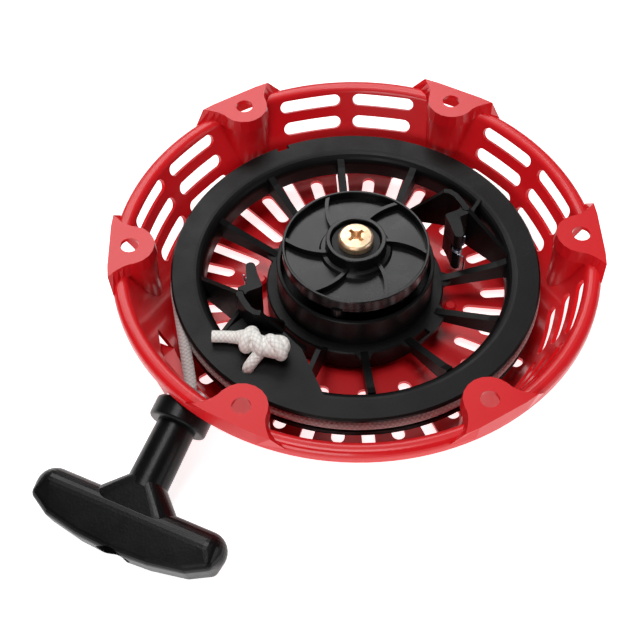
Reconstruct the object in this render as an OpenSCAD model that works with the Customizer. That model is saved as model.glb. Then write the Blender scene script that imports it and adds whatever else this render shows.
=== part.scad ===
// Recoil starter for a small engine: a pressed steel case, a ribbed reel with three turns of rope,
// swing-out ratchets under a guide cap, and a T grip. Millimetres.
// The origin is the centre of the bolt circle, on the mounting plane. +Z points out of the open side.

/* [Case] */
// Diameter of the bolt circle through the six ears
bolt_circle_d = 173; // [172:0.5:174]
// Diameter of the bolt holes
bolt_hole_d = 7; // [6:0.5:8]
// Diameter over the rolled rim
rim_d = 188.2; // [187.8:0.2:188.6]
// Thickness of the pressed sheet
sheet_t = 1.6; // [1.2:0.1:1.8]
// Depth from the mounting plane to the inside of the face
face_depth = 37.5; // [37.5:0.5:39]
// Slope of the side wall from the vertical, in degrees
wall_angle = 25; // [24:0.5:26]
// Width of the vent slots in the face
face_slot_w = 5; // [4:0.5:5.5]

/* [Reel] */
// Outer diameter of the two flanges
flange_d = 144.6; // [143:0.2:145]
// Number of spokes, counting those that the ratchet pockets and the knot plate replace
spokes = 12; // [12:1:12]
// Thickness of a spoke
spoke_t = 2.9; // [2.2:0.1:3.2]

/* [Ratchets] */
// Diameter of the guide cap
guide_d = 57; // [56:0.5:58]
// Thickness of a ratchet along the spindle
ratchet_h = 7.4; // [6.8:0.2:7.4]
// Diameter of the ratchet pins
pin_d = 2; // [1.8:0.1:2.2]

/* [Rope] */
// Diameter of the rope
rope_d = 4.5; // [4:0.1:4.6]

/* [Grip] */
// Length of the cross bar
bar_len = 76; // [70:1:84]
// Diameter of the stem
stem_d = 14.6; // [14:0.2:16]

/* [Hidden] */
$fn = 48;
eps = 0.01;

case_red = [0.80, 0.07, 0.08];
reel_black = [0.13, 0.13, 0.14];
part_black = [0.20, 0.20, 0.21];
steel = [0.62, 0.63, 0.65];
spring_blue = [0.36, 0.38, 0.43];
screw_gold = [0.80, 0.62, 0.42];
rope_grey = [0.74, 0.68, 0.67];
knot_white = [0.93, 0.92, 0.88];

// ---- case ----
ears = 6;
ear_pitch = 360 / ears;
bolt_r = bolt_circle_d / 2;
rim_r = rim_d / 2;
rim_z = -3.9;
rim_lip_z = -8.5;
face_z = -face_depth;
wall_ref = [86.3, -9];
corner_r = 5;
wall_bend_r = 3;
lip_bend_r = 2.4;
boss_step = 2;
boss_r = 31;
column_r = 9.5;
far_r = 110;
ear_pad_drop = 5.4;

// radius at height z of the line that lies off millimetres outside the wall's inner line
function wall_r(z, off = 0) =
    wall_ref[0] + (off + sin(wall_angle) * (z - wall_ref[1])) / cos(wall_angle);
function arc_points(c, r, a0, a1, n) =
    [for (i = [0:n]) let (a = a0 + (a1 - a0) * i / n) [c[0] + r * cos(a), c[1] + r * sin(a)]];
function polar(r, a) = [r * cos(a), r * sin(a)];

corner_c = [wall_r(face_z + corner_r, -corner_r), face_z + corner_r];
wall_bend_c = [wall_r(rim_z - wall_bend_r, wall_bend_r), rim_z - wall_bend_r];
lip_bend_c = [rim_r - lip_bend_r, rim_z - lip_bend_r];

bowl_inner = concat(
    [[0, face_z - boss_step], [boss_r, face_z - boss_step], [boss_r + 3, face_z]],
    arc_points(corner_c, corner_r, -90, -wall_angle, 6),
    arc_points(wall_bend_c, wall_bend_r, 180 - wall_angle, 90, 5),
    arc_points(lip_bend_c, lip_bend_r, 90, 0, 5),
    [[rim_r, rim_lip_z]]
);
bowl_outer = concat(
    [[rim_r - sheet_t, rim_lip_z]],
    arc_points(lip_bend_c, lip_bend_r - sheet_t, 0, 90, 3),
    arc_points(wall_bend_c, wall_bend_r - sheet_t, 90, 180 - wall_angle, 4),
    arc_points(corner_c, corner_r + sheet_t, -wall_angle, -90, 6),
    [[boss_r + 3, face_z - sheet_t], [boss_r, face_z - boss_step - sheet_t],
     [0, face_z - boss_step - sheet_t]]
);

// ---- pull direction: pull_az in plan, drooping by pull_droop so that it is square to the wall ----
pull_az = 243.6;
pull_droop = 14.6;
grip_c = [-64.4, -61.4, -20];
pull_dir = [cos(pull_az) * cos(pull_droop), sin(pull_az) * cos(pull_droop), -sin(pull_droop)];
pocket_gap = 2.3;
pocket_top = -9;
pocket_base = -32;
pocket_left = -41.5;
pocket_right = -17.5;
grip_out = grip_c[0] * cos(pull_az) + grip_c[1] * sin(pull_az);

// ---- reel ----
flange_r = flange_d / 2;
flange_top = -15.4;
groove_top = -17.6;
groove_base = -23.4;
flange_base = -25.5;
core_r = 60.7;
core_in_r = 59.2;
ring_lip_r = 4.3;
spoke_phase = 3.3;
plate_z = -26;
drum_r = 30.9;
drum_top = -12.8;
cup_r = 35.2;
cup_in_r = 33.4;
cup_base = -35.5;
rib_base = -30;
rib_t = 1.9;
post_r = 9;
post_fit = 0.06;
tower_top = -6;
seat_top = -13.7;
spring_well = -17;

// ---- ratchets ----
pivot = [40.6, 6.9];
eye_r = 1.85;
rope_hole = [63.6, 229];
ratchet_top = -6;
pin_r = pin_d / 2;
swing_max = 24;

// ---- guide ----
guide_r = guide_d / 2;
guide_top = -3.1;
guide_floor = -6.3;
skirt_base = -9.2;
rib_phase = 51;
spigot_r = 6;

// ---- rope ----
rope_r = rope_d / 2;
rope_z = -20.5;
wrap_r = 70.5;
coil_out_r = 67.7;
bend_in = 5;
bend_pt = grip_c - bend_in * pull_dir;
bend_r = norm([bend_pt[0], bend_pt[1]]);
leave_az = atan2(bend_pt[1], bend_pt[0]) - acos(wrap_r / bend_r);

function unit(v) = v / norm(v);
function blend3(a, b, c, t) = (1 - t) * (1 - t) * a + 2 * t * (1 - t) * b + t * t * c;

leave_pt = [wrap_r * cos(leave_az), wrap_r * sin(leave_az), rope_z];
lead_dir = unit(bend_pt - leave_pt);
lead_route = concat(
    [for (a = [leave_az - 344:8:leave_az - 8]) [wrap_r * cos(a), wrap_r * sin(a), rope_z]],
    [leave_pt, leave_pt + 12 * lead_dir, leave_pt + 25 * lead_dir, bend_pt - 8 * lead_dir],
    [for (t = [0.2:0.2:1]) blend3(bend_pt - 7 * lead_dir, bend_pt, bend_pt + 4 * pull_dir, t)]
);

// ---------------------------------------------------------------- shared shapes

// solid between two outlines with the same number of points
module loft(low, low_z, high, high_z) {
    n = len(low);
    polyhedron(
        points = concat([for (p = low) [p[0], p[1], low_z]], [for (p = high) [p[0], p[1], high_z]]),
        faces = concat(
            [[for (i = [0:n - 1]) i]],
            [[for (i = [n - 1:-1:0]) n + i]],
            [for (i = [0:n - 1]) [i, n + i, n + (i + 1) % n]],
            [for (i = [0:n - 1]) [i, n + (i + 1) % n, (i + 1) % n]]
        )
    );
}

// round tube swept along a route, closed at both ends; r is one radius or one for each point
module tube_along(route, r, sides) {
    n = len(route);
    radii = [for (i = [0:n - 1]) is_list(r) ? r[i] : r];
    dirs = [for (i = [0:n - 1]) unit(route[min(i + 1, n - 1)] - route[max(i - 1, 0)])];
    rings = [
        for (i = [0:n - 1])
            let (side = unit(cross(dirs[i], [0.01, 0.02, 1])), rise = cross(side, dirs[i]))
                for (k = [0:sides - 1])
                    let (a = 360 * (k + 0.5) / sides)
                        route[i] + radii[i] * (cos(a) * side + sin(a) * rise)
    ];
    polyhedron(
        points = rings,
        faces = concat(
            [[for (k = [sides - 1:-1:0]) k]],
            [[for (k = [0:sides - 1]) (n - 1) * sides + k]],
            [
                for (i = [0:n - 2], k = [0:sides - 1])
                    let (k2 = (k + 1) % sides)
                        [i * sides + k, i * sides + k2, (i + 1) * sides + k2, (i + 1) * sides + k]
            ]
        )
    );
}

module stadium(len, w) {
    square([len - w, w], center = true);
    for (s = [-1, 1])
        translate([s * (len - w) / 2, 0])
            circle(d = w);
}

module ring(r_out, r_in, z0, z1) {
    translate([0, 0, z0])
        difference() {
            cylinder(r = r_out, h = z1 - z0);
            translate([0, 0, -1])
                cylinder(r = r_in, h = z1 - z0 + 2);
        }
}

// straight wall with round ends between two points in plan
module wall_between(a, b, t) {
    d = b - a;
    translate(a)
        circle(d = t);
    translate(b)
        circle(d = t);
    translate((a + b) / 2)
        rotate(atan2(d[1], d[0]))
            square([norm(d), t], center = true);
}

// frame with +Z along the pull, +Y along the cross bar and +X down
module pull_frame() {
    translate(grip_c)
        rotate([0, 0, pull_az])
            rotate([0, 90 + pull_droop, 0])
                children();
}

// ---------------------------------------------------------------- case

// outline of an ear: round inside the bolt, flared to a nearly straight edge on the rim
function ear_outline(r0, edge_x, half_w, mid_x, mid_y) =
    let (
        start = [bolt_r + r0 * cos(104), r0 * sin(104)],
        tip = [edge_x, half_w],
        ctrl = [bolt_r + 2.5, r0 * 1.02],
        upper = concat(
            [[mid_x, mid_y], tip],
            [for (t = [0.2:0.2:0.8]) blend3(tip, ctrl, start, t)],
            [for (a = [104:19:180]) [bolt_r + r0 * cos(a), r0 * sin(a)]]
        ),
        n = len(upper)
    )
        concat(upper, [for (i = [n - 2:-1:0]) [upper[i][0], -upper[i][1]]]);

module ear_pad() {
    loft(
        ear_outline(column_r + 0.6, 91.9, 20.4, rim_r + 0.4, 11), -ear_pad_drop,
        ear_outline(column_r, 93.8, 15.6, rim_r + 0.2, 10), 0
    );
}

module ear_column() {
    translate([0, 0, face_z])
        linear_extrude(-face_z - 2) {
            translate([bolt_r, 0])
                circle(r = column_r);
            translate([bolt_r, -column_r + 0.15])
                square([far_r - bolt_r, 2 * column_r - 0.3]);
        }
}

module ear_hollow() {
    hollow_r = column_r - sheet_t;
    open_h = rim_lip_z - 0.3 - (face_z - 5);
    translate([bolt_r, 0, face_z - 5])
        cylinder(r = hollow_r, h = open_h);
    translate([bolt_r, -hollow_r + 0.15, face_z - 5])
        cube([far_r - bolt_r, 2 * hollow_r - 0.3, open_h]);
    intersection() {
        translate([bolt_r, 0, rim_lip_z - 1])
            cylinder(r = hollow_r, h = -rim_lip_z + 1 - sheet_t);
        translate([0, 0, rim_lip_z - 2])
            cylinder(r = rim_r - sheet_t, h = 12);
    }
}

// flat pressed pocket, square to the pull, that the rope leaves through
module exit_pocket(inset) {
    plane_0 = grip_out - (pocket_gap + inset) / cos(pull_droop);
    top = pocket_top - inset;
    base = pocket_base + inset;
    function plane(z) = plane_0 + tan(pull_droop) * (z - grip_c[2]);
    function outline(z) = [
        [56, -60.5 + 1.6 * inset], [plane(z), pocket_left + 1.2 * inset],
        [plane(z), pocket_right - inset], [56, pocket_right - inset]
    ];
    rotate([0, 0, pull_az])
        loft(outline(base), base, outline(top), top);
}

module bowl_cavity() {
    rotate_extrude($fn = 180)
        polygon(concat(bowl_inner, [[rim_r, 5], [0, 5]]));
}

module wall_slots() {
    slot_rows = [[-9.2, 5.2], [-18, 5.6], [-27, 5.8]];
    slotted = [for (k = [0:ears - 1]) if (k != 3) ear_pitch * (k + 0.5)];
    for (sector = slotted, col = [-1, 1], row = slot_rows)
        rotate([0, 0, sector + 10.4 * col])
            translate([wall_r(row[0], sheet_t / 2), 0, row[0]])
                rotate([0, 90 + wall_angle, 0])
                    linear_extrude(12, center = true)
                        rotate(90)
                            stadium(0.302 * wall_r(row[0]), row[1]);
}

// short and long slots in turn, the long ones running out into the corner
module face_slots() {
    for (k = [0:35])
        let (from = k % 2 == 0 ? 51.3 : 43.9, to = k % 2 == 0 ? 68.4 : 72.6)
            rotate([0, 0, 10 * k + 2])
                translate([(from + to) / 2, 0, face_z - 6])
                    linear_extrude(11)
                        stadium(to - from, face_slot_w);
}

// lugs raised from the face beside the reel's spring cup
module face_lugs() {
    for (a = [-12, 168])
        rotate([0, 0, a])
            translate([38.7, 0, face_z - 0.5]) {
                cylinder(r = 2.6, h = 5.1);
                translate([0, 0, 5.1])
                    cylinder(r1 = 2.6, r2 = 1.7, h = 1);
            }
}

module case_shell() {
    color(case_red)
        difference() {
            union() {
                rotate_extrude($fn = 180)
                    polygon(concat(bowl_inner, bowl_outer));
                intersection() {
                    for (k = [0:ears - 1])
                        rotate([0, 0, ear_pitch * k])
                            ear_column();
                    rotate_extrude($fn = 180)
                        polygon(concat(
                            [[0, rim_z + 1.5], [rim_r - sheet_t - 0.5, rim_z + 1.5]],
                            [for (i = [2:len(bowl_outer) - 1]) bowl_outer[i]]
                        ));
                }
                for (k = [0:ears - 1])
                    rotate([0, 0, ear_pitch * k])
                        ear_pad();
                face_lugs();
                difference() {
                    exit_pocket(0);
                    bowl_cavity();
                }
            }
            exit_pocket(sheet_t);
            for (k = [0:ears - 1])
                rotate([0, 0, ear_pitch * k]) {
                    ear_hollow();
                    translate([bolt_r, 0, -10])
                        cylinder(d = bolt_hole_d, h = 20);
                }
            wall_slots();
            face_slots();
            translate([0, 0, face_z - 10])
                cylinder(r = 5, h = 12);
            pull_frame()
                translate([0, 0, -15])
                    cylinder(r = 5.6, h = 20);
        }
}

// ---------------------------------------------------------------- spindle

post_shoulder = -11.9;
post_top = -2.4;
recess_floor = -3.95;
screw_bore_r = 3.05;

module spindle_post() {
    base_z = face_z - boss_step;
    color(steel)
        difference() {
            rotate_extrude($fn = 72)
                polygon([
                    [0, base_z - sheet_t], [4.97, base_z - sheet_t], [4.97, base_z],
                    [15, base_z], [15, base_z + 1.2], [post_r + 1, base_z + 1.6],
                    [post_r, base_z + 2.2], [post_r, post_shoulder], [spigot_r, post_shoulder],
                    [spigot_r, post_top], [0, post_top]
                ]);
            translate([0, 0, -26])
                cylinder(r = screw_bore_r, h = 30);
            // slot for the hooked inner end of the recoil spring
            translate([4.6, -0.8, base_z + 2.4])
                cube([6, 1.6, 10.6]);
        }
}

module thrust_washer() {
    color(steel)
        ring(12.8, spigot_r + 0.1, post_shoulder + 0.05, post_shoulder + 0.75);
}

module friction_spring() {
    wire_r = 0.42;
    color(steel)
        for (k = [0:1])
            translate([0, 0, recess_floor + 0.3 + wire_r + k * 0.36])
                rotate_extrude($fn = 48)
                    translate([7.7, 0])
                        circle(r = wire_r - 0.06 * k, $fn = 16);
}

module screw_washer() {
    color(part_black)
        ring(9.2, screw_bore_r, post_top + 0.02, post_top + 1.2);
}

module guide_screw() {
    head_z = post_top + 1.22;
    color(screw_gold)
        difference() {
            rotate_extrude($fn = 64)
                polygon(concat(
                    [[0, -24], [2.4, -24], [3, -23.2], [3, head_z], [6.8, head_z]],
                    arc_points([5.4, head_z + 1.9], 1.4, 0, 70, 4),
                    [[3, head_z + 3.6], [0, head_z + 3.7]]
                ));
            for (a = [0, 90])
                rotate([0, 0, a + 40])
                    translate([0, 0, head_z + 3])
                        cube([7.2, 1.5, 4], center = true);
            translate([0, 0, head_z + 0.6])
                cylinder(r1 = 0.8, r2 = 2.1, h = 3.2);
        }
}

// ---------------------------------------------------------------- rope run in the case

module rope_guide() {
    color(steel)
        pull_frame()
            translate([0, 0, -pocket_gap])
                rotate_extrude($fn = 48)
                    polygon(concat(
                        [[5.5, -sheet_t - 0.02], [7.6, -sheet_t - 0.02], [7.6, -sheet_t - 1.4]],
                        [[5.4, -sheet_t - 2.3], [4.6, -sheet_t - 2.1]],
                        arc_points([4.9, -sheet_t / 2], 1.5, 214, 146, 4),
                        [[4.6, 1.4], [7.8, 1.4], [8.4, 0.9], [8.4, 0.02], [5.5, 0.02]]
                    ));
}

module rope_lead() {
    color(rope_grey)
        tube_along(lead_route, rope_r, 8);
}

// ---------------------------------------------------------------- reel

module spool() {
    rotate_extrude($fn = 180)
        polygon(concat(
            [
                [core_in_r, flange_base], [flange_r, flange_base], [flange_r, groove_base],
                [core_r, groove_base], [core_r, groove_top], [flange_r - 0.4, groove_top],
                [flange_r, groove_top + 0.5], [flange_r, flange_top - 0.7],
                [flange_r - 0.7, flange_top]
            ],
            arc_points([core_in_r + ring_lip_r, flange_top - ring_lip_r], ring_lip_r, 90, 180, 6)
        ));
}

module hub() {
    rotate_extrude($fn = 120)
        polygon([
            [post_r + post_fit, plate_z - 2], [cup_in_r, plate_z - 2], [cup_in_r, cup_base],
            [cup_r, cup_base], [cup_r, plate_z - 0.5], [cup_r - 0.5, plate_z], [drum_r, plate_z],
            [drum_r, drum_top - 0.3], [drum_r - 0.3, drum_top], [drum_r - 1.4, drum_top],
            [drum_r - 1.7, drum_top - 0.3], [drum_r - 2, -24], [14, -24], [14, -12.3],
            [post_r + post_fit, -12.3]
        ]);
    // wider ledge with a window in it
    rotate_extrude(angle = 30, start = spoke_phase - 60, $fn = 96)
        translate([drum_r + 2, plate_z - 2])
            square([38.9 - drum_r - 2, 2]);
}

// upright rib in the plane of the spindle, given as an outline of radius and height
module radial_rib(angle, t, outline) {
    rotate([0, 0, angle])
        rotate([90, 0, 0])
            linear_extrude(t, center = true)
                polygon(outline);
}

module spoke(angle) {
    radial_rib(angle, spoke_t, [
        [cup_r - 1.2, plate_z - 0.1], [core_in_r - 3, flange_top - 3.2],
        [core_in_r + 0.4, flange_top - 1.4], [core_in_r + 0.4, flange_base], [cup_r - 1.2, rib_base]
    ]);
    // flare where the spoke meets the ledge
    rotate([0, 0, angle])
        translate([0, 0, plate_z - 1.9])
            linear_extrude(1.8)
                polygon([[33.8, -4.2], [35.6, -3.2], [38.6, -1.3], [38.6, 1.3], [35.6, 3.2], [33.8, 4.2]]);
}

module ratchet_outline() {
    polygon([
        [38.75, 6.6], [37.9, 10.8], [36.2, 16.2], [36.3, 16.9], [36.9, 17.4], [41.2, 19.2],
        [42.1, 19.9], [42.45, 20.9], [42.85, 20.2], [43.3, 19], [44.6, 18.6], [45.3, 18.2],
        [45.4, 17.5], [44.9, 17], [42.4, 15.9], [41.8, 15.3], [41.9, 14.6], [42.35, 10.2],
        [42.45, 7]
    ]);
}

module ratchet_pocket() {
    tower_path = [[44.6, 20.4], [43.3, 23.6], [41.2, 27.4], [39, 29.3], [36.8, 29.7]];
    last = len(tower_path) - 1;
    along = [
        for (i = [0:last])
            let (d = unit(tower_path[min(i + 1, last)] - tower_path[max(i - 1, 0)]))
                [-d[1], d[0]]
    ];
    // curved stop wall
    translate([0, 0, flange_base])
        linear_extrude(tower_top - flange_base) {
            polygon(concat(
                [for (i = [0:last]) tower_path[i] + 1.15 * along[i]],
                [for (i = [last:-1:0]) tower_path[i] - 1.15 * along[i]]
            ));
            translate(tower_path[0])
                circle(r = 1.4);
        }
    // seat under the ratchet, with a well round the pin for its spring
    difference() {
        union() {
            translate([0, 0, flange_base + 0.2])
                linear_extrude(seat_top - flange_base - 0.2)
                    polygon([
                        [38.75, 6.6], [37.9, 10.8], [36.2, 16.2], [36.3, 16.9], [36.9, 17.4],
                        [41.2, 19.2], [42.1, 19.9], [43.1, 22.4], [44.9, 21.5], [45.6, 19],
                        [45.4, 17.5], [44.9, 17], [42.4, 15.9], [41.8, 15.3], [41.9, 14.6],
                        [42.35, 10.2], [42.45, 7]
                    ]);
            translate([pivot[0], pivot[1], flange_base + 0.2])
                cylinder(r = eye_r, h = spring_well + 0.5 - flange_base - 0.2);
        }
        translate([pivot[0], pivot[1], spring_well])
            cylinder(r = 3.1, h = 6);
    }
    // gussets that slope from the stop wall to the hub and to the ring
    sloped_gusset([37, 29.7], [20.2, 33.4], tower_top, plate_z + 1.6);
    difference() {
        sloped_gusset([45.4, 19.6], [60.6, 3.9], tower_top, flange_top - 0.4);
        ring(90, core_r - 0.4, flange_base - 1, tower_top + 1);
    }
    // short tie to the ring
    difference() {
        translate([0, 0, flange_base + 0.3])
            linear_extrude(flange_top + 0.2 - flange_base)
                wall_between([45, 21], [52.6, 33.2], 1.5);
        ring(90, core_r - 0.3, flange_base - 1, groove_top + 0.3);
        ring(90, core_r + 1.4, flange_base - 1, flange_top + 2);
    }
}

module sloped_gusset(a, b, za, zb) {
    d = b - a;
    translate([a[0], a[1], 0])
        rotate([0, 0, atan2(d[1], d[0])])
            rotate([90, 0, 0])
                linear_extrude(rib_t, center = true)
                    polygon([[0, za], [norm(d), zb], [norm(d), flange_base], [0, flange_base]]);
}

module knot_plate() {
    plate_from = 210;
    plate_to = 242;
    translate([0, 0, groove_top])
        linear_extrude(flange_top - groove_top)
            polygon(concat(
                [[-33, -26], [-21.9, -39.8], polar(64.4, plate_to + 16)],
                [for (a = [plate_to + 12:-6:plate_from]) polar(64.4, a)],
                [polar(50, plate_from - 1)]
            ));
    // webs from the plate down to the cup wall
    for (a = [213.5, 248.5])
        radial_rib(a, rib_t, [
            [cup_r - 1.2, plate_z - 0.1], [42.5, groove_top + 1], [core_in_r + 0.4, groove_top + 1],
            [core_in_r + 0.4, flange_base], [cup_r - 1.2, rib_base]
        ]);
}

module reel() {
    color(reel_black)
        difference() {
            union() {
                spool();
                hub();
                for (k = [2:spokes - 1])
                    if (!(k == 6 || k == 7 || k == 8))
                        spoke(spoke_phase + 360 / spokes * k);
                spoke(spoke_phase - 1.9);
                for (a = [0, 180])
                    rotate([0, 0, a])
                        ratchet_pocket();
                knot_plate();
            }
            for (a = [0, 180])
                rotate([0, 0, a])
                    translate([pivot[0], pivot[1], spring_well - 3.5])
                        cylinder(r = pin_r + 0.03, h = 10);
            // hole that the rope passes down through, from the knot to the groove
            translate([0, 0, groove_top - 1])
                rotate([0, 0, rope_hole[1]])
                    translate([rope_hole[0], 0, 0])
                        cylinder(r = rope_r + 0.5, h = 6);
            // notch in the edge of the top flange
            rotate([0, 0, 113])
                translate([flange_r - 2.6, -2.5, groove_top - 1])
                    cube([6, 5, 5]);
            // window in the ledge
            rotate([0, 0, -47.8])
                translate([35.5, -3.4, plate_z - 3])
                    cube([2.5, 6.8, 5]);
            // slot that holds the outer end of the recoil spring
            rotate([0, 0, 100])
                translate([cup_in_r - 1, -2, cup_base - 1])
                    cube([4, 4, 7]);
        }
}

// flat strip wound from the post out to the cup wall
module recoil_spring() {
    turns = 7;
    r0 = 10.4;
    r1 = 32.2;
    strip_t = 0.7;
    steps = turns * 20;
    function spiral(i, off) = polar(r0 + (r1 - r0) * i / steps + off, 360 * turns * i / steps);
    color(spring_blue)
        translate([0, 0, -37])
            linear_extrude(8)
                union() {
                    polygon(concat(
                        [for (i = [0:steps]) spiral(i, strip_t / 2)],
                        [for (i = [steps:-1:0]) spiral(i, -strip_t / 2)]
                    ));
                    // inner hook in the post's slot
                    translate([7.2, -0.35])
                        square([3.3, 0.7]);
                }
}

// two inner turns, pressed flat by the pull
module rope_coil() {
    half_t = 1.85;
    half_w = 2.35;
    color(rope_grey)
        translate([0, 0, rope_z])
            rotate_extrude($fn = 120)
                for (c = [coil_out_r - half_t, core_r + 0.15 + half_t])
                    polygon([for (a = [0:20:340]) [c + half_t * cos(a), half_w * sin(a)]]);
}

// stopper knot lying on the plate, its tail, and the run down through the flange
module rope_knot() {
    hole = polar(rope_hole[0], rope_hole[1]);
    color(knot_white) {
        tube_along([
                [-55.2, -34.8, -13], [-50, -35.1, -13], [-46.4, -35.7, -12.8], [-44.2, -36.3, -12.2],
                [-42.3, -37.2, -11.6], [-40.4, -38.5, -11.3], [-38.4, -40, -11.1], [-36.2, -41.2, -10.9],
                [-33.8, -42, -10.6], [-31.2, -42.4, -10.4], [-29.2, -42.5, -10.4], [-27.6, -42.5, -10.6],
                [-26.3, -42.5, -10.9]
            ],
            [2.25, 2.25, 2.5, 3.5, 4.1, 4.2, 3.9, 3.9, 4.5, 4.9, 4.7, 3.9, 2], 12);
        tube_along([
                [hole[0], hole[1], groove_top - 0.3], [hole[0], hole[1], -15.4],
                [hole[0] + 0.6, hole[1] + 0.5, -13.9], [hole[0] + 2, hole[1] + 1.5, -12.4],
                [hole[0] + 4.5, hole[1] + 3.5, -11.9], [hole[0] + 7.5, hole[1] + 5, -11.2]
            ],
            [2.1, 2.2, 2.3, 2.6, 2.9, 2.6], 12);
    }
}

// ---------------------------------------------------------------- ratchets

module ratchet_pin() {
    color(steel)
        translate([pivot[0], pivot[1], spring_well - 3])
            cylinder(r = pin_r, h = 12.2);
}

// torsion spring round the pin, in the well under the ratchet: one leg runs down beside the seat,
// the other stands against the ratchet's outer side
module ratchet_spring() {
    wire_r = 0.32;
    coil_r = 1.75;
    turns = 2.5;
    steps = 40;
    helix = [
        for (i = [0:steps])
            let (a = -90 + 360 * turns * i / steps)
                [coil_r * cos(a), coil_r * sin(a), 0.5 + 1.9 * i / steps]
    ];
    color(steel)
        translate([pivot[0], pivot[1], spring_well])
            tube_along(concat(
                [[2.7, -3.3, -7], [2.7, -3.2, -1], [2.2, -2.9, 0.2], [1.2, -2.1, 0.45]], helix,
                [[1.1, 1.9, 2.45], [1.8, 1.7, 2.8], [2.3, 1.2, 3.3], [2.75, 1.2, 4.2], [2.75, 1.4, 7.4]]
            ), wire_r, 8);
}

// L shaped claw: eye on the pin, arm along the cap, nose out against the stop wall
module ratchet() {
    color(part_black)
        translate([0, 0, ratchet_top - ratchet_h])
            difference() {
                union() {
                    translate([pivot[0], pivot[1], 0])
                        cylinder(r = eye_r, h = ratchet_h);
                    linear_extrude(ratchet_h)
                        ratchet_outline();
                }
                translate([pivot[0], pivot[1], -1])
                    cylinder(r = pin_r + 0.05, h = 1 + ratchet_h - 1.6);
            }
}

// ---------------------------------------------------------------- guide

// swirled rib from the boss to the rim
module guide_rib() {
    swirl_t = 1.4;
    n = 7;
    path = [for (i = [0:n]) blend3(polar(11.3, 22), polar(20, 16), polar(guide_r - 0.9, 0), i / n)];
    normals = [
        for (i = [0:n])
            let (d = unit(path[min(i + 1, n)] - path[max(i - 1, 0)])) [-d[1], d[0]] * swirl_t / 2
    ];
    translate([0, 0, guide_floor - 0.5])
        linear_extrude(guide_top - 0.5 - guide_floor + 0.5)
            polygon(concat(
                [for (i = [0:n]) path[i] - normals[i]],
                [for (i = [n:-1:0]) path[i] + normals[i]]
            ));
}

// lug and ribs under the cap, just inside its rim
module cap_lugs() {
    translate([26.4, 0, -12.2])
        cylinder(r = 2.9, h = 4);
    for (a = [55, 63, 71, 79])
        radial_rib(a, 1.3, [[20, -12], [27.6, -12], [27.6, -8.4], [20, -8.4]]);
}

module ratchet_guide() {
    color(part_black)
        union() {
                rotate_extrude($fn = 120)
                    polygon([
                        [spigot_r + 0.06, -10.9], [11.6, -10.9], [11.6, -8.5], [27.2, -8.5],
                        [27.2, skirt_base], [28.2, skirt_base], [28.2, -8.2], [guide_r, -7.6],
                        [guide_r, guide_top - 0.3], [guide_r - 0.3, guide_top],
                        [guide_r - 0.9, guide_top], [guide_r - 1.2, guide_top - 0.3],
                        [guide_r - 1.5, guide_floor], [14.2, guide_floor], [13.4, guide_floor + 1.2],
                        [11.9, guide_floor + 1.4], [11.6, 0.2], [11.3, 0.5], [10.1, 0.5],
                        [9.8, 0.2], [9.6, recess_floor], [spigot_r + 0.06, recess_floor]
                    ]);
                for (k = [0:5])
                    rotate([0, 0, rib_phase + 60 * k])
                        guide_rib();
                for (a = [-107, 73])
                    rotate([0, 0, a])
                        cap_lugs();
        }
}

// ---------------------------------------------------------------- grip

bar_z = 45.6;
bar_half_t = 7.4;
pocket_r = 6.6;

module grip() {
    color(part_black)
        pull_frame()
            difference() {
                union() {
                    rotate_extrude($fn = 64)
                        polygon(concat(
                            [[2.9, 0.4]],
                            arc_points([9.9, 1.5], 1.1, -90, 0, 3),
                            arc_points([9.9, 7.3], 1.1, 0, 90, 3),
                            [[stem_d / 2, 8.4], [stem_d / 2 + 0.4, 34], [2.9, 40]]
                        ));
                    cylinder(r = stem_d / 2 - 0.3, h = 44);
                    // flare from the stem into the bar
                    hull() {
                        translate([0, 0, 31])
                            cylinder(r = stem_d / 2 + 0.2, h = 0.5, $fn = 32);
                        for (s = [-1, 1])
                            translate([0, 10 * s, 43])
                                sphere(r = 7, $fn = 24);
                    }
                    bar();
                }
                translate([0, 0, -1])
                    cylinder(r = 2.9, h = 70);
                translate([0, 0, bar_z - 1])
                    cylinder(r = pocket_r, h = 30);
            }
}

module bar() {
    half = bar_len / 2;
    hull() {
        for (s = [-1, 1]) {
            translate([0, s * (half - bar_half_t), bar_z])
                sphere(r = bar_half_t, $fn = 32);
            for (q = [[half - 4.6, 49.6], [half * 0.7, 53.3], [half * 0.36, 55.6], [0, 56.4]],
                 side = [-1, 1])
                translate([side * 4, s * q[0], q[1]])
                    sphere(r = 3, $fn = 20);
        }
    }
}

module grip_rope() {
    color(rope_grey)
        pull_frame()
            translate([0, 0, 0.5])
                cylinder(r = rope_r, h = bar_z - 0.5, $fn = 32);
}

module grip_knot() {
    color(rope_grey)
        pull_frame()
            translate([0, 0, bar_z + 5.4]) {
                sphere(r = 5.3, $fn = 32);
            }
}

case_shell();
spindle_post();
thrust_washer();
friction_spring();
screw_washer();
guide_screw();
rope_guide();
rope_lead();
reel();
recoil_spring();
rope_coil();
rope_knot();
ratchet_pin();  // ratchet_pin_a
rotate([0, 0, 180]) ratchet_pin();  // ratchet_pin_b
ratchet_spring();  // ratchet_spring_a
rotate([0, 0, 180]) ratchet_spring();  // ratchet_spring_b
ratchet();  // ratchet_a
rotate([0, 0, 180]) ratchet();  // ratchet_b
ratchet_guide();
grip();
grip_rope();
grip_knot();
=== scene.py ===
import math

import bpy
import numpy as np
from mathutils import Matrix, Vector


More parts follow.
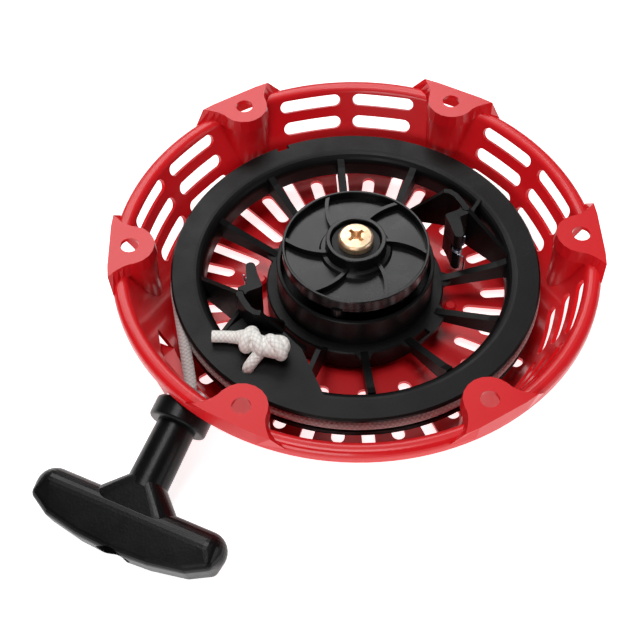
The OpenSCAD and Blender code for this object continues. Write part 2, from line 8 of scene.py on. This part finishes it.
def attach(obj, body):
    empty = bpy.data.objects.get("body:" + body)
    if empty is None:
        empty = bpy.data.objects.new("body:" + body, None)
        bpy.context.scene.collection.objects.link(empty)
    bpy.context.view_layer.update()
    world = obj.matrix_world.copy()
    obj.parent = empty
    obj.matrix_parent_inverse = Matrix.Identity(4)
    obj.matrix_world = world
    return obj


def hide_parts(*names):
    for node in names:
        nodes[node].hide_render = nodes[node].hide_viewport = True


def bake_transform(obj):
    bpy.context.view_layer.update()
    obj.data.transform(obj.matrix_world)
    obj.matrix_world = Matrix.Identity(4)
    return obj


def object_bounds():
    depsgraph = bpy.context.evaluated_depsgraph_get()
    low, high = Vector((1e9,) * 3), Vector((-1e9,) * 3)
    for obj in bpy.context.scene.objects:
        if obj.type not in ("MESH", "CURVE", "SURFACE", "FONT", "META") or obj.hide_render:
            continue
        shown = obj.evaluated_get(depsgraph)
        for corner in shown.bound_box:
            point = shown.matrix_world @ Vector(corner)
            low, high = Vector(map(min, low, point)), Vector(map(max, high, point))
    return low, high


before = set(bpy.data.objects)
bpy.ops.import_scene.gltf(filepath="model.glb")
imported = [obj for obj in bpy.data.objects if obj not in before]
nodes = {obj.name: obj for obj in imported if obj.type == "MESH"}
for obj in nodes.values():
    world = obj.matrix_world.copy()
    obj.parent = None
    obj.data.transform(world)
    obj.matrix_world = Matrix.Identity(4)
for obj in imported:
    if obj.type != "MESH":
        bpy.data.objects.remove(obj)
cad_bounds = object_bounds()
scene = bpy.context.scene


# ---------------------------------------------------------------- camera, floor, light

def make_camera():
    """The photograph's viewpoint: the axes and place of its camera in the row frame."""
    right = Vector((0.99958, -0.02850, -0.00591))
    up = Vector((0.02624, 0.79439, 0.60684))
    ahead = Vector((0.0126, 0.6067, -0.7948))
    cam = bpy.data.objects.new("camera", bpy.data.cameras.new("camera"))
    m = Matrix.Identity(4)
    for i in range(3):
        m[i][0], m[i][1], m[i][2] = right[i], up[i], -ahead[i]
    m.translation = Vector((-0.02075, -0.32258, 0.37227))
    cam.matrix_world = m
    cam.data.lens = 72.32
    cam.data.sensor_width = 36
    cam.data.clip_start = 0.01
    cam.data.clip_end = 20
    scene.collection.objects.link(cam)
    scene.camera = cam


def area_light(name, loc, target, size, power, color=(1, 1, 1)):
    data = bpy.data.lights.new(name, "AREA")
    data.shape = "RECTANGLE"
    data.size, data.size_y = size
    data.energy = power
    data.color = color
    ob = bpy.data.objects.new(name, data)
    ob.location = loc
    ob.rotation_euler = (Vector(target) - Vector(loc)).to_track_quat("-Z", "Y").to_euler()
    scene.collection.objects.link(ob)


def make_lights():
    """Soft studio boxes behind, above, in front and to the side, and a dim even background."""
    area_light("key_back", (-0.15, 0.75, 0.75), (0, 0, -0.02), (0.8, 0.4), 5.2)
    area_light("top_soft", (-0.1, 0.1, 1.1), (0, 0, -0.02), (0.5, 0.5), 6.2)
    area_light("front_fill", (-0.35, -1.0, 0.55), (0, 0, -0.02), (0.6, 0.35), 5.2)
    area_light("side_fill", (1.0, -0.25, 0.45), (0, 0, -0.02), (0.4, 0.5), 1.5)
    world = bpy.data.worlds.new("soft_grey")
    scene.world = world
    world.use_nodes = True
    back = world.node_tree.nodes["Background"]
    back.inputs["Color"].default_value = (1, 1, 1, 1)
    back.inputs["Strength"].default_value = 0.05
    scene.view_settings.view_transform = "Standard"
    scene.view_settings.look = "None"


# ---------------------------------------------------------------- materials

class Mat:
    """A material with a Principled shader and short helpers for its nodes."""

    def __init__(self, name):
        self.mat = bpy.data.materials.new(name)
        self.mat.use_nodes = True
        self.t = self.mat.node_tree
        self.shader = self.t.nodes["Principled BSDF"]
        self._bump = None

    def node(self, kind, **inputs):
        n = self.t.nodes.new(kind)
        for key, value in inputs.items():
            self.put(n, key, value)
        return n

    def put(self, n, key, value):
        socket = n.inputs[int(key[1:])] if key[0] == "i" and key[1:].isdigit() else n.inputs[key]
        if isinstance(value, bpy.types.NodeSocket):
            self.t.links.new(value, socket)
        else:
            socket.default_value = value

    def set(self, **values):
        for key, value in values.items():
            self.put(self.shader, key.replace("_", " "), value)

    def math(self, op, a, b=0.0, c=None, clamp=False):
        n = self.t.nodes.new("ShaderNodeMath")
        n.operation = op
        n.use_clamp = clamp
        self.put(n, "i0", a)
        if op not in ("FLOOR", "ABSOLUTE", "SQRT", "SINE", "COSINE", "FRACT"):
            self.put(n, "i1", b)
        if c is not None:
            self.put(n, "i2", c)
        return n.outputs[0]

    def coords(self, which="Object"):
        return self.t.nodes.new("ShaderNodeTexCoord").outputs[which]

    def noise(self, scale, detail=4.0, rough=0.55, vector=None, distortion=0.0):
        n = self.node("ShaderNodeTexNoise", Scale=scale, Detail=detail, Roughness=rough,
                      Distortion=distortion)
        self.put(n, "Vector", self.coords() if vector is None else vector)
        return n.outputs["Fac"]

    def ramp(self, fac, stops):
        n = self.t.nodes.new("ShaderNodeValToRGB")
        self.put(n, "Fac", fac)
        r = n.color_ramp
        while len(r.elements) < len(stops):
            r.elements.new(0.5)
        for e, (pos, col) in zip(r.elements, stops):
            e.position = pos
            e.color = (*col, 1) if len(col) == 3 else col
        return n.outputs["Color"]

    def range(self, fac, lo, hi, out_lo, out_hi):
        n = self.node("ShaderNodeMapRange", Value=fac)
        n.inputs["From Min"].default_value = lo
        n.inputs["From Max"].default_value = hi
        n.inputs["To Min"].default_value = out_lo
        n.inputs["To Max"].default_value = out_hi
        return n.outputs["Result"]

    def mix(self, fac, a, b):
        n = self.t.nodes.new("ShaderNodeMix")
        n.data_type = "RGBA"
        self.put(n, "i0", fac)
        for i, v in ((6, a), (7, b)):
            if isinstance(v, bpy.types.NodeSocket):
                self.t.links.new(v, n.inputs[i])
            else:
                n.inputs[i].default_value = (*v, 1)
        return n.outputs[2]

    def bump(self, height, strength, distance):
        n = self.node("ShaderNodeBump", Height=height, Strength=strength, Distance=distance)
        if self._bump is not None:
            self.t.links.new(self._bump, n.inputs["Normal"])
        self._bump = n.outputs["Normal"]
        self.t.links.new(self._bump, self.shader.inputs["Normal"])


def red_enamel():
    m = Mat("red_enamel")
    broad = m.noise(14, 3)
    fine = m.noise(420, 2)
    specks = m.noise(900, 3, 0.7)
    base = m.ramp(broad, [(0.3, (0.62, 0.005, 0.009)), (0.7, (0.70, 0.008, 0.013))])
    chips = m.range(specks, 0.73, 0.76, 0.0, 0.5)
    m.set(Base_Color=m.mix(chips, base, (0.35, 0.02, 0.02)),
          Roughness=m.range(broad, 0.3, 0.7, 0.30, 0.40))
    m.set(Coat_Weight=0.2, Coat_Roughness=0.1, Specular_IOR_Level=0.3)
    m.bump(fine, 0.10, 0.0002)
    m.bump(m.noise(60, 2), 0.12, 0.0004)
    return m.mat


def black_plastic(name, tone, rough, grain, grain_strength, coat=0.0):
    m = Mat(name)
    broad = m.noise(22, 4)
    smear = m.noise(60, 5, 0.65, distortion=0.6)
    dust = m.noise(700, 3, 0.7)
    base = m.ramp(broad, [(0.3, tuple(tone * k for k in (0.92, 0.93, 0.96))),
                          (0.7, tuple(tone * k for k in (1.12, 1.12, 1.15)))])
    flecks = m.range(dust, 0.72, 0.78, 0.0, 0.12)
    m.set(Base_Color=m.mix(flecks, base, (0.10, 0.10, 0.10)),
          Roughness=m.range(smear, 0.3, 0.7, rough - 0.06, rough + 0.08))
    m.set(Specular_IOR_Level=0.16, Coat_Weight=coat, Coat_Roughness=0.2)
    m.bump(m.noise(grain, 2, 0.6), grain_strength, 0.00015)
    m.bump(m.noise(35, 2), 0.15, 0.0004)
    return m.mat


def machined_steel(name, tint, rough):
    m = Mat(name)
    n = m.t.nodes.new("ShaderNodeMapping")
    m.t.links.new(m.coords(), n.inputs["Vector"])
    n.inputs["Scale"].default_value = (40, 40, 900)
    lines = m.noise(6, 3, 0.6, vector=n.outputs["Vector"])
    stain = m.noise(90, 4)
    m.set(Base_Color=m.ramp(stain, [(0.35, tuple(0.82 * c for c in tint)), (0.65, tint)]),
          Metallic=1.0, Roughness=m.range(lines, 0.3, 0.7, rough - 0.08, rough + 0.1))
    m.bump(lines, 0.2, 0.0001)
    return m.mat


def yellow_zinc():
    m = Mat("yellow_zinc")
    hue = m.noise(260, 4, 0.6, distortion=0.8)
    scratch = m.noise(700, 4, 0.7)
    m.set(Base_Color=m.ramp(hue, [(0.28, (0.80, 0.38, 0.24)), (0.45, (0.86, 0.60, 0.36)),
                                  (0.6, (0.90, 0.70, 0.46)), (0.75, (0.80, 0.42, 0.34))]),
          Metallic=0.85, Roughness=m.range(scratch, 0.3, 0.7, 0.28, 0.46))
    m.bump(scratch, 0.35, 0.00012)
    return m.mat


def braid(name, around, along, light, hollow_shade_colour, tuft):
    """Braided cord, darker in the hollows between strands and lighter on their crowns: painted shade.
    around and along are node sockets: turns round the cord, and millimetres along it.
    """
    m = around["mat"]
    a, v = around["value"], along
    strands, pitch, filaments = 6.0, 3.6, 5
    p = m.math("ADD", m.math("MULTIPLY", a, strands), m.math("DIVIDE", v, pitch / 2))
    q = m.math("SUBTRACT", m.math("MULTIPLY", a, strands), m.math("DIVIDE", v, pitch / 2))
    cell = m.math("ADD", m.math("FLOOR", p), m.math("FLOOR", q))
    check = m.math("MODULO", m.math("ADD", cell, 2000.0), 2.0)
    fp, fq = m.math("FRACT", p), m.math("FRACT", q)
    hp = m.math("SINE", m.math("MULTIPLY", fp, math.pi))
    hq = m.math("SINE", m.math("MULTIPLY", fq, math.pi))
    over = m.math("MULTIPLY", m.math("POWER", hp, 0.5), m.math("ADD", 0.55, m.math("MULTIPLY", hq, 0.45)))
    under = m.math("MULTIPLY", m.math("POWER", hq, 0.5), m.math("ADD", 0.55, m.math("MULTIPLY", hp, 0.45)))
    height = m.math("ADD", m.math("MULTIPLY", check, over),
                    m.math("MULTIPLY", m.math("SUBTRACT", 1.0, check), under))
    # filaments run along whichever strand is on top
    fil_p = m.math("SINE", m.math("MULTIPLY", fp, 2 * math.pi * filaments))
    fil_q = m.math("SINE", m.math("MULTIPLY", fq, 2 * math.pi * filaments))
    fil = m.math("ADD", m.math("MULTIPLY", check, fil_p),
                 m.math("MULTIPLY", m.math("SUBTRACT", 1.0, check), fil_q))
    relief = m.math("ADD", height, m.math("MULTIPLY", fil, 0.06))
    fuzz = m.noise(1800, 3, 0.7)
    tone = m.noise(120, 3)
    # painted shade: by the braid's height, the colour goes from the hollow colour in the low hollows
    # between strands to the light colour on the raised crowns
    painted_strand_shade = m.mix(m.range(height, 0.15, 0.9, 0.0, 1.0), hollow_shade_colour, light)
    worn = m.mix(m.range(tone, 0.35, 0.7, 0.0, 0.35), painted_strand_shade, tuft)
    m.set(Base_Color=worn, Roughness=0.78)
    m.set(Sheen_Weight=0.35, Sheen_Roughness=0.4, Specular_IOR_Level=0.35)
    m.bump(relief, 0.6, 0.0004)
    m.bump(fuzz, 0.35, 0.0001)
    return m.mat


def braid_uv(name, light, hollow_shade_colour, tuft):
    m = Mat(name)
    sep = m.t.nodes.new("ShaderNodeSeparateXYZ")
    m.t.links.new(m.coords("UV"), sep.inputs[0])
    return braid(name, {"mat": m, "value": sep.outputs["X"]}, sep.outputs["Y"], light, hollow_shade_colour, tuft)


def braid_straight(name, origin, axis, side, light, hollow_shade_colour, tuft):
    """The same braid on a straight run, by the place in space, so that it keeps its pitch when pulled."""
    m = Mat(name)
    third = Vector(axis).cross(Vector(side))
    pos = m.t.nodes.new("ShaderNodeVectorMath")
    pos.operation = "SUBTRACT"
    m.t.links.new(m.coords(), pos.inputs[0])
    pos.inputs[1].default_value = origin
    parts = []
    for d in (axis, side, third):
        dot = m.t.nodes.new("ShaderNodeVectorMath")
        dot.operation = "DOT_PRODUCT"
        m.t.links.new(pos.outputs[0], dot.inputs[0])
        dot.inputs[1].default_value = d
        parts.append(dot.outputs["Value"])
    turn = m.math("DIVIDE", m.math("ARCTAN2", parts[1], parts[2]), 2 * math.pi)
    along = m.math("MULTIPLY", parts[0], 1000.0)
    return braid(name, {"mat": m, "value": turn}, along, light, hollow_shade_colour, tuft)


# ---------------------------------------------------------------- geometry helpers

def add_mesh(name, verts, faces, uvs=None, smooth=True):
    mesh = bpy.data.meshes.new(name)
    mesh.from_pydata([tuple(v) for v in verts], [], faces)
    if uvs is not None:
        layer = mesh.uv_layers.new(name="UVMap")
        for i, uv in enumerate(uv for face in uvs for uv in face):
            layer.data[i].uv = uv
    mesh.update()
    if smooth:
        mesh.shade_smooth()
    ob = bpy.data.objects.new(name, mesh)
    scene.collection.objects.link(ob)
    return ob


def smooth_path(points, step):
    """Catmull-Rom curve through the points, resampled every step metres."""
    pts = [Vector(p) for p in points]
    ext = [2 * pts[0] - pts[1]] + pts + [2 * pts[-1] - pts[-2]]
    dense = []
    for i in range(1, len(ext) - 2):
        a, b, c, d = ext[i - 1], ext[i], ext[i + 1], ext[i + 2]
        for k in range(16):
            t = k / 16
            dense.append(0.5 * ((2 * b) + (c - a) * t + (2 * a - 5 * b + 4 * c - d) * t * t
                                + (3 * b - a - 3 * c + d) * t ** 3))
    dense.append(pts[-1])
    length = [0.0]
    for p, q in zip(dense, dense[1:]):
        length.append(length[-1] + (q - p).length)
    n = max(2, int(round(length[-1] / step)))
    out, j = [], 0
    for i in range(n + 1):
        s = length[-1] * i / n
        while j < len(length) - 2 and length[j + 1] < s:
            j += 1
        f = (s - length[j]) / max(length[j + 1] - length[j], 1e-9)
        out.append(dense[j].lerp(dense[j + 1], min(max(f, 0), 1)))
    return out


def tube(name, path, radius, sides=14, closed=False, caps=True, radius_at=None, up=None):
    """Round cord along a path, with U round it in turns and V along it in millimetres."""
    n = len(path)
    verts, along = [], [0.0]
    for p, q in zip(path, path[1:]):
        along.append(along[-1] + (q - p).length * 1000)
    last = None
    for i, p in enumerate(path):
        before = path[i - 1] if (i or closed) else p
        after = path[(i + 1) % n] if (i < n - 1 or closed) else p
        d = (after - before).normalized()
        if last is None:
            ref = Vector(up) if up else (Vector((0, 0, 1)) if abs(d.z) < 0.9 else Vector((1, 0, 0)))
            side = d.cross(ref).normalized()
        else:
            side = (last - d * last.dot(d)).normalized()
        last = side
        rise = d.cross(side)
        r = radius if radius_at is None else radius_at(i / (n - 1)) * radius
        for k in range(sides):
            a = 2 * math.pi * k / sides
            verts.append(p + r * (math.cos(a) * side + math.sin(a) * rise))
    faces, uvs = [], []
    rings = n if closed else n - 1
    total = along[-1] + ((path[0] - path[-1]).length * 1000 if closed else 0)
    for i in range(rings):
        i2 = (i + 1) % n
        v1, v2 = along[i], (along[i2] if i2 else total)
        for k in range(sides):
            k2 = (k + 1) % sides
            faces.append((i * sides + k, i * sides + k2, i2 * sides + k2, i2 * sides + k))
            uvs.append([(k / sides, v1), ((k + 1) / sides, v1), ((k + 1) / sides, v2), (k / sides, v2)])
    if caps and not closed:
        for base, order in ((0, -1), ((n - 1) * sides, 1)):
            loop = [base + k for k in range(sides)][::order]
            faces.append(tuple(loop))
            uvs.append([(k / sides, 0.0) for k in range(sides)])
    return add_mesh(name, verts, faces, uvs)


def ring_path(r, z, n=240):
    turn = 2 * math.pi / n
    return [Vector((r * math.cos(turn * i), r * math.sin(turn * i), z)) for i in range(n)]


# ---------------------------------------------------------------- the rope

MM = 0.001
PULL_AZ, PULL_DROOP = math.radians(243.6), math.radians(14.6)
PULL = Vector((math.cos(PULL_AZ) * math.cos(PULL_DROOP), math.sin(PULL_AZ) * math.cos(PULL_DROOP),
               -math.sin(PULL_DROOP)))
GRIP_C = Vector((-64.4, -61.4, -20)) * MM
ROPE_R = 2.25 * MM
ROPE_Z = -20.5 * MM
WRAP_R = 70.5 * MM
INNER_TURNS = (65.45 * MM, 62.75 * MM)
FLATTENED = 0.16
OUTER_TURN = math.radians(344)
# place, and radius, along the stopper knot's tail and core, in millimetres
KNOT_CORE = [
    (-55.2, -34.8, -13.0, 2.25), (-50.0, -35.1, -13.0, 2.25), (-46.4, -35.7, -12.8, 2.4),
    (-44.2, -36.3, -12.2, 2.9), (-42.3, -37.2, -11.6, 3.4), (-40.4, -38.5, -11.3, 3.6),
    (-38.4, -40.0, -11.1, 3.6), (-36.2, -41.2, -10.9, 3.7), (-33.8, -42.0, -10.6, 4.1),
    (-31.2, -42.4, -10.4, 4.5), (-29.2, -42.5, -10.4, 4.4), (-27.6, -42.5, -10.6, 3.7),
    (-26.5, -42.5, -10.8, 2.2), (-26.1, -42.5, -10.9, 0.9),
]
# centre, axis, radius and stretch of each strand wrapped round the core
KNOT_WRAPS = [
    ((-41.2, -38.3, -11.0), (0.86, -0.5, 0.1), 3.0, 1.1),
    ((-38.0, -40.4, -10.9), (0.93, 0.3, 0.1), 2.9, 1.15),
    ((-31.4, -42.6, -10.4), (0.8, 0.6, 0.1), 3.3, 1.1),
]
# hole in the plate, and the rope's way up from it into the core
HOLE_R, HOLE_AZ = 63.6, math.radians(229)
KNOT_DROP = [
    (0, 0, -18), (0, 0, -15.6), (1.2, 1.2, -14.2), (3.4, 3.6, -13), (5.6, 5.4, -12), (7.5, 6.5, -11.2),
]


def rope_piece(ob, mat, body, stands_for=None):
    """Gives a rope piece its cord, and rides it on the body that holds it."""
    ob.data.materials.append(mat)
    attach(ob, body)
    if stands_for:
        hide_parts(stands_for)


def curve_through(a, b, c, t):
    """A point of the quadratic curve from a to c that b pulls on."""
    t = float(t)
    return (1 - t) ** 2 * a + 2 * t * (1 - t) * b + t * t * c


def outer_turn(grey):
    """The outermost turn, the straight run off it, and the bend into the grip's line."""
    bend = GRIP_C - 5 * MM * PULL
    leave = math.atan2(bend.y, bend.x) - math.acos(WRAP_R / math.hypot(bend.x, bend.y))
    path = [Vector((WRAP_R * math.cos(leave + a), WRAP_R * math.sin(leave + a), ROPE_Z))
            for a in np.linspace(-OUTER_TURN, 0, 200)]
    start = path[-1]
    lead, length = (bend - start).normalized(), (bend - start).length
    path += [start + lead * length * f for f in (0.1, 0.2, 0.3, 0.4, 0.5, 0.6, 0.7, 0.8)]
    before, after = bend - 8 * MM * lead, bend + 4.2 * MM * PULL
    path += [curve_through(before, bend, after, t) for t in np.linspace(0, 1, 9)]
    rope_piece(tube("rope_outer_turn", path, ROPE_R), grey, "case", "rope_lead")


def pulled_run(grey_straight):
    """The straight run through the guide and the grip, along the line of pull."""
    steps = [-1.3, -1.1, -0.9] + list(np.linspace(-0.6, 2.4, 40)) + [3, 5, 10, 20, 30, 40, 46]
    path = [GRIP_C + PULL * float(d) * MM for d in steps]
    run = tube("rope_pulled_run", path, ROPE_R * 0.985, up=(0, 0, 1))
    run.data.materials.append(grey_straight)
    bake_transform(run)
    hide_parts("grip_rope")


def inner_turns(grey):
    """Two turns wound on the reel below the outer one, pressed flat by the pull."""
    for i, r in enumerate(INNER_TURNS):
        turn = tube(f"rope_turn_{i + 1}", ring_path(r, ROPE_Z), ROPE_R, closed=True)
        for v in turn.data.vertices:
            out = Vector((v.co.x, v.co.y, 0))
            v.co -= out.normalized() * (out.length - r) * FLATTENED
        rope_piece(turn, grey, "reel", None if i else "rope_coil")


def wrap_round(name, centre, axis, radius, stretch):
    """A strand of the knot: a ring about the axis, stretched sideways."""
    axis = Vector(axis).normalized()
    u = axis.cross(Vector((0, 0, 1))).normalized()
    w = axis.cross(u)
    ring = [(Vector(centre) + radius * (math.cos(t) * u * stretch + math.sin(t) * w)) * MM
            for t in np.linspace(0, 2 * math.pi, 48, endpoint=False)]
    return tube(name, ring, ROPE_R, sides=16, closed=True)


def stopper_knot(white):
    """The knot on the reel's plate: tail and core, the strands round it, and the run down the hole."""
    fat = [p[3] * MM / ROPE_R for p in KNOT_CORE]
    path = smooth_path([Vector(p[:3]) * MM for p in KNOT_CORE], 0.7 * MM)
    along = [0.0]
    for p, q in zip(KNOT_CORE, KNOT_CORE[1:]):
        along.append(along[-1] + (Vector(q[:3]) - Vector(p[:3])).length)
    core = tube("rope_stopper_knot", path, ROPE_R, sides=24,
                radius_at=lambda t: float(np.interp(t * along[-1], along, fat)))
    rope_piece(core, white, "reel", "rope_knot")
    for i, wrap in enumerate(KNOT_WRAPS):
        rope_piece(wrap_round(f"rope_knot_wrap_{i + 1}", *wrap), white, "reel")
    hole = Vector((HOLE_R * math.cos(HOLE_AZ), HOLE_R * math.sin(HOLE_AZ), 0))
    drop = smooth_path([(hole + Vector(p)) * MM for p in KNOT_DROP], 0.7 * MM)
    rope_piece(tube("rope_knot_drop", drop, ROPE_R, sides=16), white, "reel")


def grip_knot(grey):
    """The knot hidden in the grip's pocket, a trefoil."""
    down = Matrix.Rotation(PULL_AZ, 3, "Z") @ Matrix.Rotation(math.pi / 2 + PULL_DROOP, 3, "Y")
    loop = []
    for i in range(60):
        t = 2 * math.pi * i / 60
        loop.append(Vector((1.35 * math.sin(t) + 1.7 * math.sin(2 * t),
                            1.35 * math.cos(t) - 1.7 * math.cos(2 * t),
                            50.6 - 1.7 * math.sin(3 * t))))
    path = [GRIP_C + down @ (p * MM) for p in loop]
    rope_piece(tube("rope_grip_knot", path, 1.9 * MM, closed=True), grey, "grip", "grip_knot")


# ---------------------------------------------------------------- build

make_camera()
make_lights()

floor = add_mesh("floor", [(-4, -4, 0), (4, -4, 0), (4, 4, 0), (-4, 4, 0)], [(0, 1, 2, 3)], smooth=False)
floor.location.z = cad_bounds[0][2] - 0.0002
pale = Mat("pale_floor")
pale.set(Base_Color=(0.9, 0.9, 0.9, 1), Roughness=0.9)
pale.set(Emission_Color=(1, 1, 1, 1), Emission_Strength=0.82)
floor.data.materials.append(pale.mat)

enamel = red_enamel()
reel_plastic = black_plastic("reel_black_plastic", 0.0035, 0.42, 900, 0.35)
guide_plastic = black_plastic("guide_black_plastic", 0.004, 0.30, 700, 0.2, coat=0.25)
ratchet_plastic = black_plastic("ratchet_black_plastic", 0.004, 0.40, 900, 0.3)
grip_plastic = black_plastic("grip_black_plastic", 0.003, 0.34, 1100, 0.3, coat=0.1)
washer_black = black_plastic("washer_black_oxide", 0.012, 0.38, 800, 0.2)
bright = machined_steel("bright_zinc_steel", (0.70, 0.70, 0.72), 0.32)
blued = machined_steel("blued_spring_steel", (0.30, 0.32, 0.38), 0.34)
zinc = yellow_zinc()
side = Vector((0, 0, 1)).cross(PULL).normalized()
# the second colour is painted shade for the hollows between strands, the first the strands' own colour on
# their crowns, the third a worn tone
cord_light, cord_hollow_shade, cord_dirt = (0.56, 0.50, 0.48), (0.33, 0.29, 0.28), (0.46, 0.40, 0.39)
grey_cord = braid_uv("grey_braided_cord", cord_light, cord_hollow_shade, cord_dirt)
grey_run = braid_straight("grey_braided_run", GRIP_C, PULL, side, cord_light, cord_hollow_shade, cord_dirt)
# the second colour, (0.72, 0.69, 0.64), is painted shade for the hollows between the knot's strands
white_cord = braid_uv("white_braided_knot", (0.95, 0.94, 0.91), (0.72, 0.69, 0.64), (0.88, 0.84, 0.78))

finish_of = {
    "case_shell": enamel, "spindle_post": bright, "thrust_washer": bright, "friction_spring": blued,
    "screw_washer": washer_black, "guide_screw": zinc, "rope_guide": bright, "rope_lead": grey_cord,
    "reel": reel_plastic, "recoil_spring": blued, "rope_coil": grey_cord, "rope_knot": white_cord,
    "ratchet_pin_a": blued, "ratchet_pin_b": blued, "ratchet_spring_a": blued,
    "ratchet_spring_b": blued, "ratchet_a": ratchet_plastic, "ratchet_b": ratchet_plastic,
    "ratchet_guide": guide_plastic, "grip": grip_plastic, "grip_rope": grey_run, "grip_knot": grey_cord,
}
for name, mat in finish_of.items():
    nodes[name].data.materials.clear()
    nodes[name].data.materials.append(mat)

outer_turn(grey_cord)
pulled_run(grey_run)
inner_turns(grey_cord)
stopper_knot(white_cord)
grip_knot(grey_cord)
